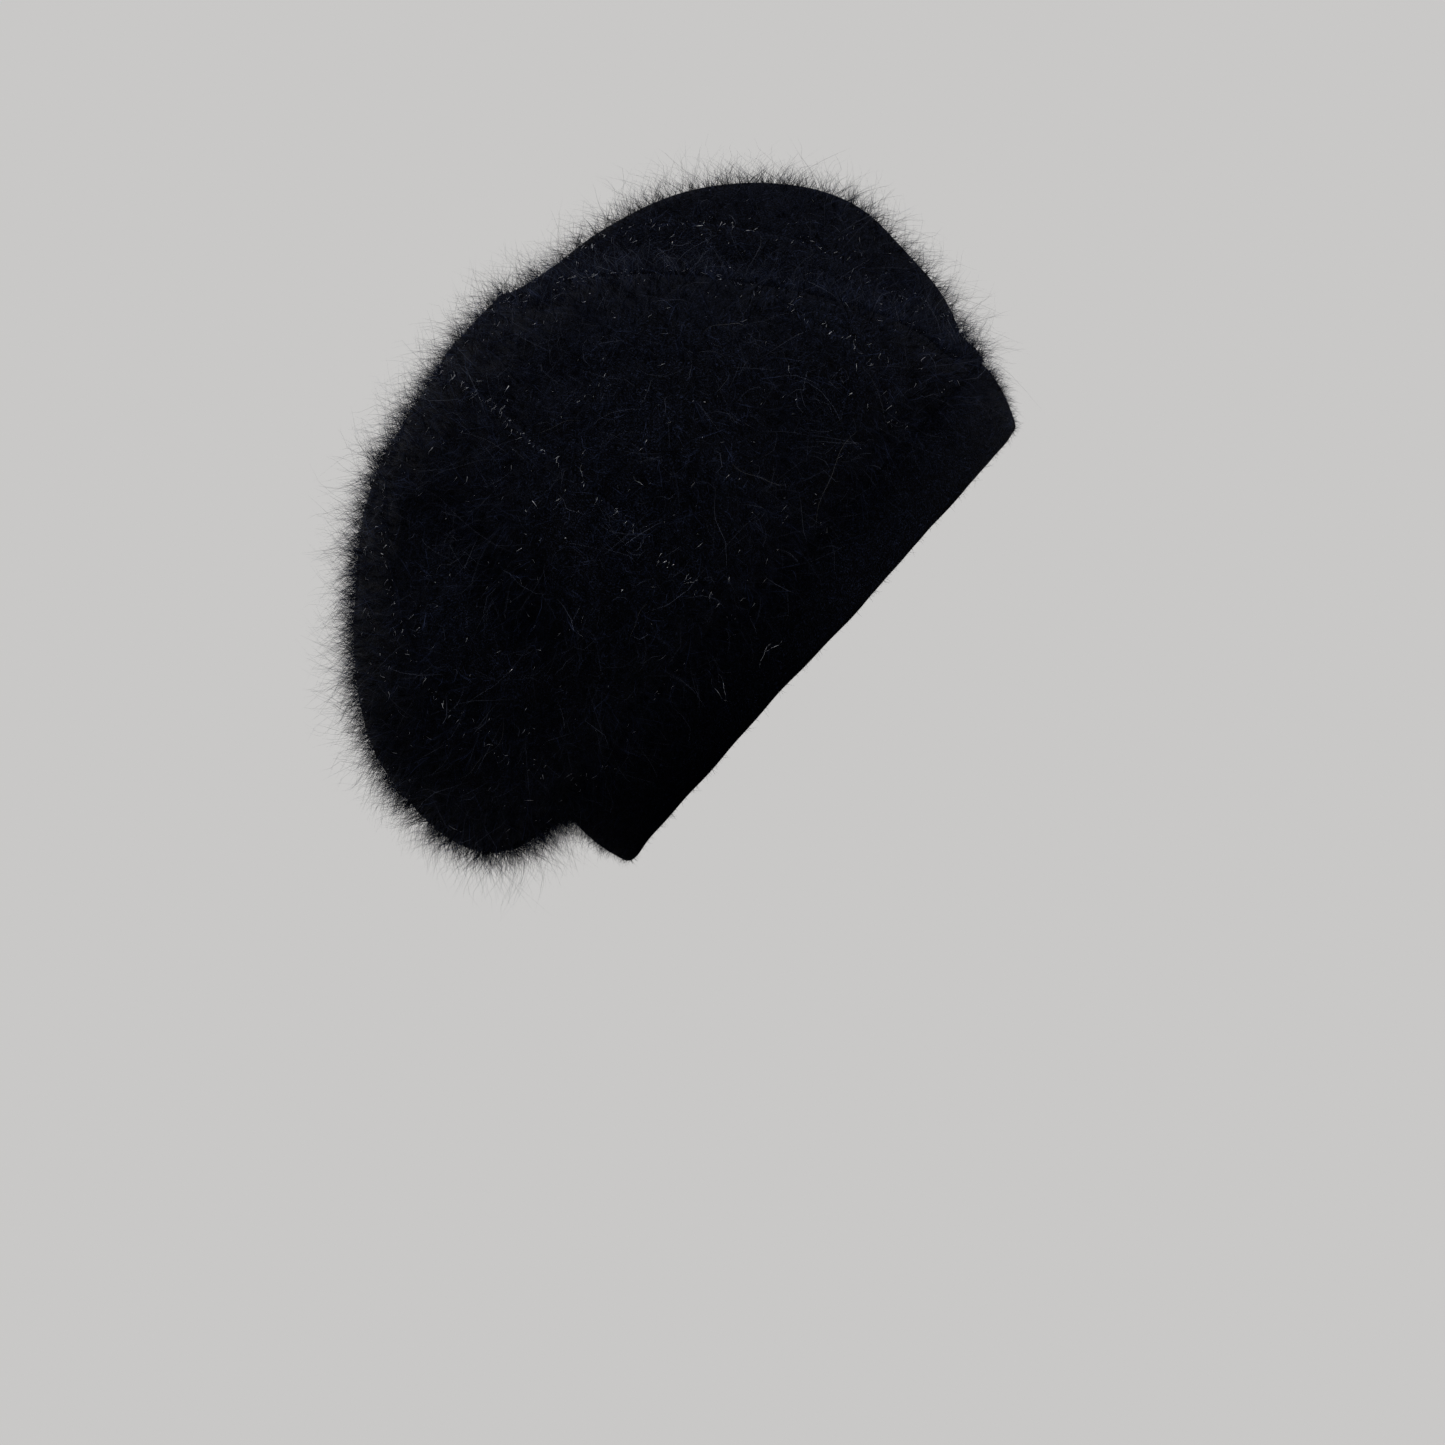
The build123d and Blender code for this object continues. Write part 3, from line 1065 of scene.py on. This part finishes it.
guard_count = 5600
for part in range(2):
    roots, outs = scatter_roots(gore_skins, int(guard_count * hair_share))
    lengths = 0.0095 + 0.0125 * hair_luck.random(len(roots)) ** 1.5
    lines = hair_lines(roots, outs, lengths, joints=5, droop=0.12, curl=0.16)
    width = hair_luck.uniform(0.00006, 0.00012, len(roots))
    strands(f"angora_guard_hairs_{part + 1}", lines, width, guard_material)

# The band's inner face is rubbed by the head and keeps only a little of its fluff.
band_fluff_count = 27000
inner_fluff_share = 0.12
roots, outs = scatter_roots([band_skin], int(band_fluff_count * hair_share), fluff_tuft)
facing_out = np.einsum("ij,ij->i", roots[:, :2], outs[:, :2])
outer_face = facing_out > -0.1 * np.linalg.norm(roots[:, :2], axis=1)
spared = hair_luck.random(len(roots) // fluff_tuft) < inner_fluff_share
kept = np.repeat(outer_face[::fluff_tuft] | spared, fluff_tuft)
roots, outs = roots[kept], outs[kept]
room = np.clip(roots[:, 2] / band_height, 0, 1)
lengths = (0.0022 + 0.0048 * room) * (0.5 + 1.1 * hair_luck.random(len(roots)) ** 2)
lines = hair_lines(roots, outs, lengths, joints=2, droop=0.05, curl=0.10, tuft=fluff_tuft)
width = hair_luck.uniform(0.00009, 0.00014, len(roots))
strands("angora_fluff_band", lines, width, fluff_material, fluff_tuft)

# ---------------------------------------------------------------- loose long hairs
# A few undyed guard hairs have worked out of the yarn and lie over the fluff on the hat's right side. Each is
# one bent strand resting on the bloom.
laid_points = 13
band_only = cad_faces("band")


def laid_line(start, end, bow, lift):
    """A bowed line over the right side's bloom, between two places given as distance back and height."""
    line = []
    for share in np.linspace(0, 1, laid_points):
        back = start[0] + (end[0] - start[0]) * share
        height = start[1] + (end[1] - start[1]) * share
        swing = bow * math.sin(math.pi * share) + 0.25 * bow * math.sin(3 * math.pi * share)
        length = math.hypot(end[0] - start[0], end[1] - start[1])
        back -= swing * (end[1] - start[1]) / length
        height += swing * (end[0] - start[0]) / length
        faces = band_only if height < band_height else crown_faces
        found = faces.ray_cast(Vector((-outside, back, height)), Vector((1, 0, 0)))[0]
        line.append([found.x - lift * (0.4 + math.sin(math.pi * share)), back, height])
    return line


pale_places = [
    ((-0.056, 0.038), (-0.023, 0.026), 0.003, 0.006),
    ((0.089, 0.061), (0.118, 0.064), -0.006, 0.006),
    ((0.030, 0.050), (0.046, 0.044), 0.002, 0.005),
    ((-0.020, 0.060), (-0.028, 0.042), 0.002, 0.005),
    ((0.002, 0.105), (0.018, 0.112), 0.002, 0.005),
    ((-0.045, 0.095), (-0.056, 0.085), -0.002, 0.005),
]
pale = angora_hair("undyed_angora_guard_hair", "#3a3a3c", "#8a8a8c", "#b4b4b4")
pale_lines = np.array([laid_line(*place) for place in pale_places])
strands("loose_pale_hairs", pale_lines, np.full(len(pale_lines), 0.00012), pale)

# ---------------------------------------------------------------- glinting yarn
# A thin metallised film is knitted in with the angora. It shows as short bright flecks lying roughly along
# the courses, closest together at the linked seams, and a few of its ends have sprung out on the right side.
fleck_count = 1200
seam_flecks = 110
seam_scatter = 0.0009


def metallised_film():
    """Polyester film with a bright vapour coat of aluminium, a little crushed by the knitting."""
    made = bpy.data.materials.new("metallised_film_yarn")
    made.use_nodes = True
    shader = made.node_tree.nodes["Principled BSDF"]
    shader.inputs["Base Color"].default_value = linear("#f0f1f6")
    shader.inputs["Metallic"].default_value = 1.0
    shader.inputs["Roughness"].default_value = 0.28
    return made


film = metallised_film()
roots, outs = scatter_roots(gore_skins, int(fleck_count * hair_share))
for number in range(gore_count):
    rows = hair_luck.integers(2, crown_rows - 2, seam_flecks)
    jitter = hair_luck.normal(0, seam_scatter, (seam_flecks, 3))
    roots = np.concatenate([roots, crown[rows, number * gore_columns] + jitter])
    outs = np.concatenate([outs, crown_outward[rows, number * gore_columns]])
roots = roots + outs * hair_luck.uniform(0.0004, 0.0026, (len(roots), 1))
lengths = 0.0005 + 0.0032 * hair_luck.random(len(roots)) ** 2
level = unit(np.cross(outs, np.array([0, 0, 1.0]) + hair_luck.normal(0, 0.45, outs.shape)))
bend = outs * hair_luck.normal(0, 0.5, (len(roots), 1))
joints = [roots + lengths[:, None] * (t * level + t * (1 - t) * bend) for t in (0, 0.5, 1)]
lines = np.stack(joints, axis=1)
width = 0.00006 + 0.00014 * hair_luck.random(len(roots)) ** 2
strands("film_flecks", lines, width, film)

sprung_places = [
    ((0.034, 0.020), (0.036, 0.010), 0.002, 0.005),
    ((0.032, 0.019), (0.038, 0.011), -0.001, 0.005),
    ((0.013, 0.013), (0.022, 0.010), 0.001, 0.004),
    ((0.010, 0.011), (0.018, 0.014), -0.001, 0.004),
    ((0.012, 0.095), (0.015, 0.090), 0.001, 0.005),
    ((0.004, 0.080), (0.003, 0.074), 0.001, 0.005),
]
sprung_lines = np.array([laid_line(*place) for place in sprung_places])
strands("sprung_film_ends", sprung_lines, np.full(len(sprung_lines), 0.00022), film)
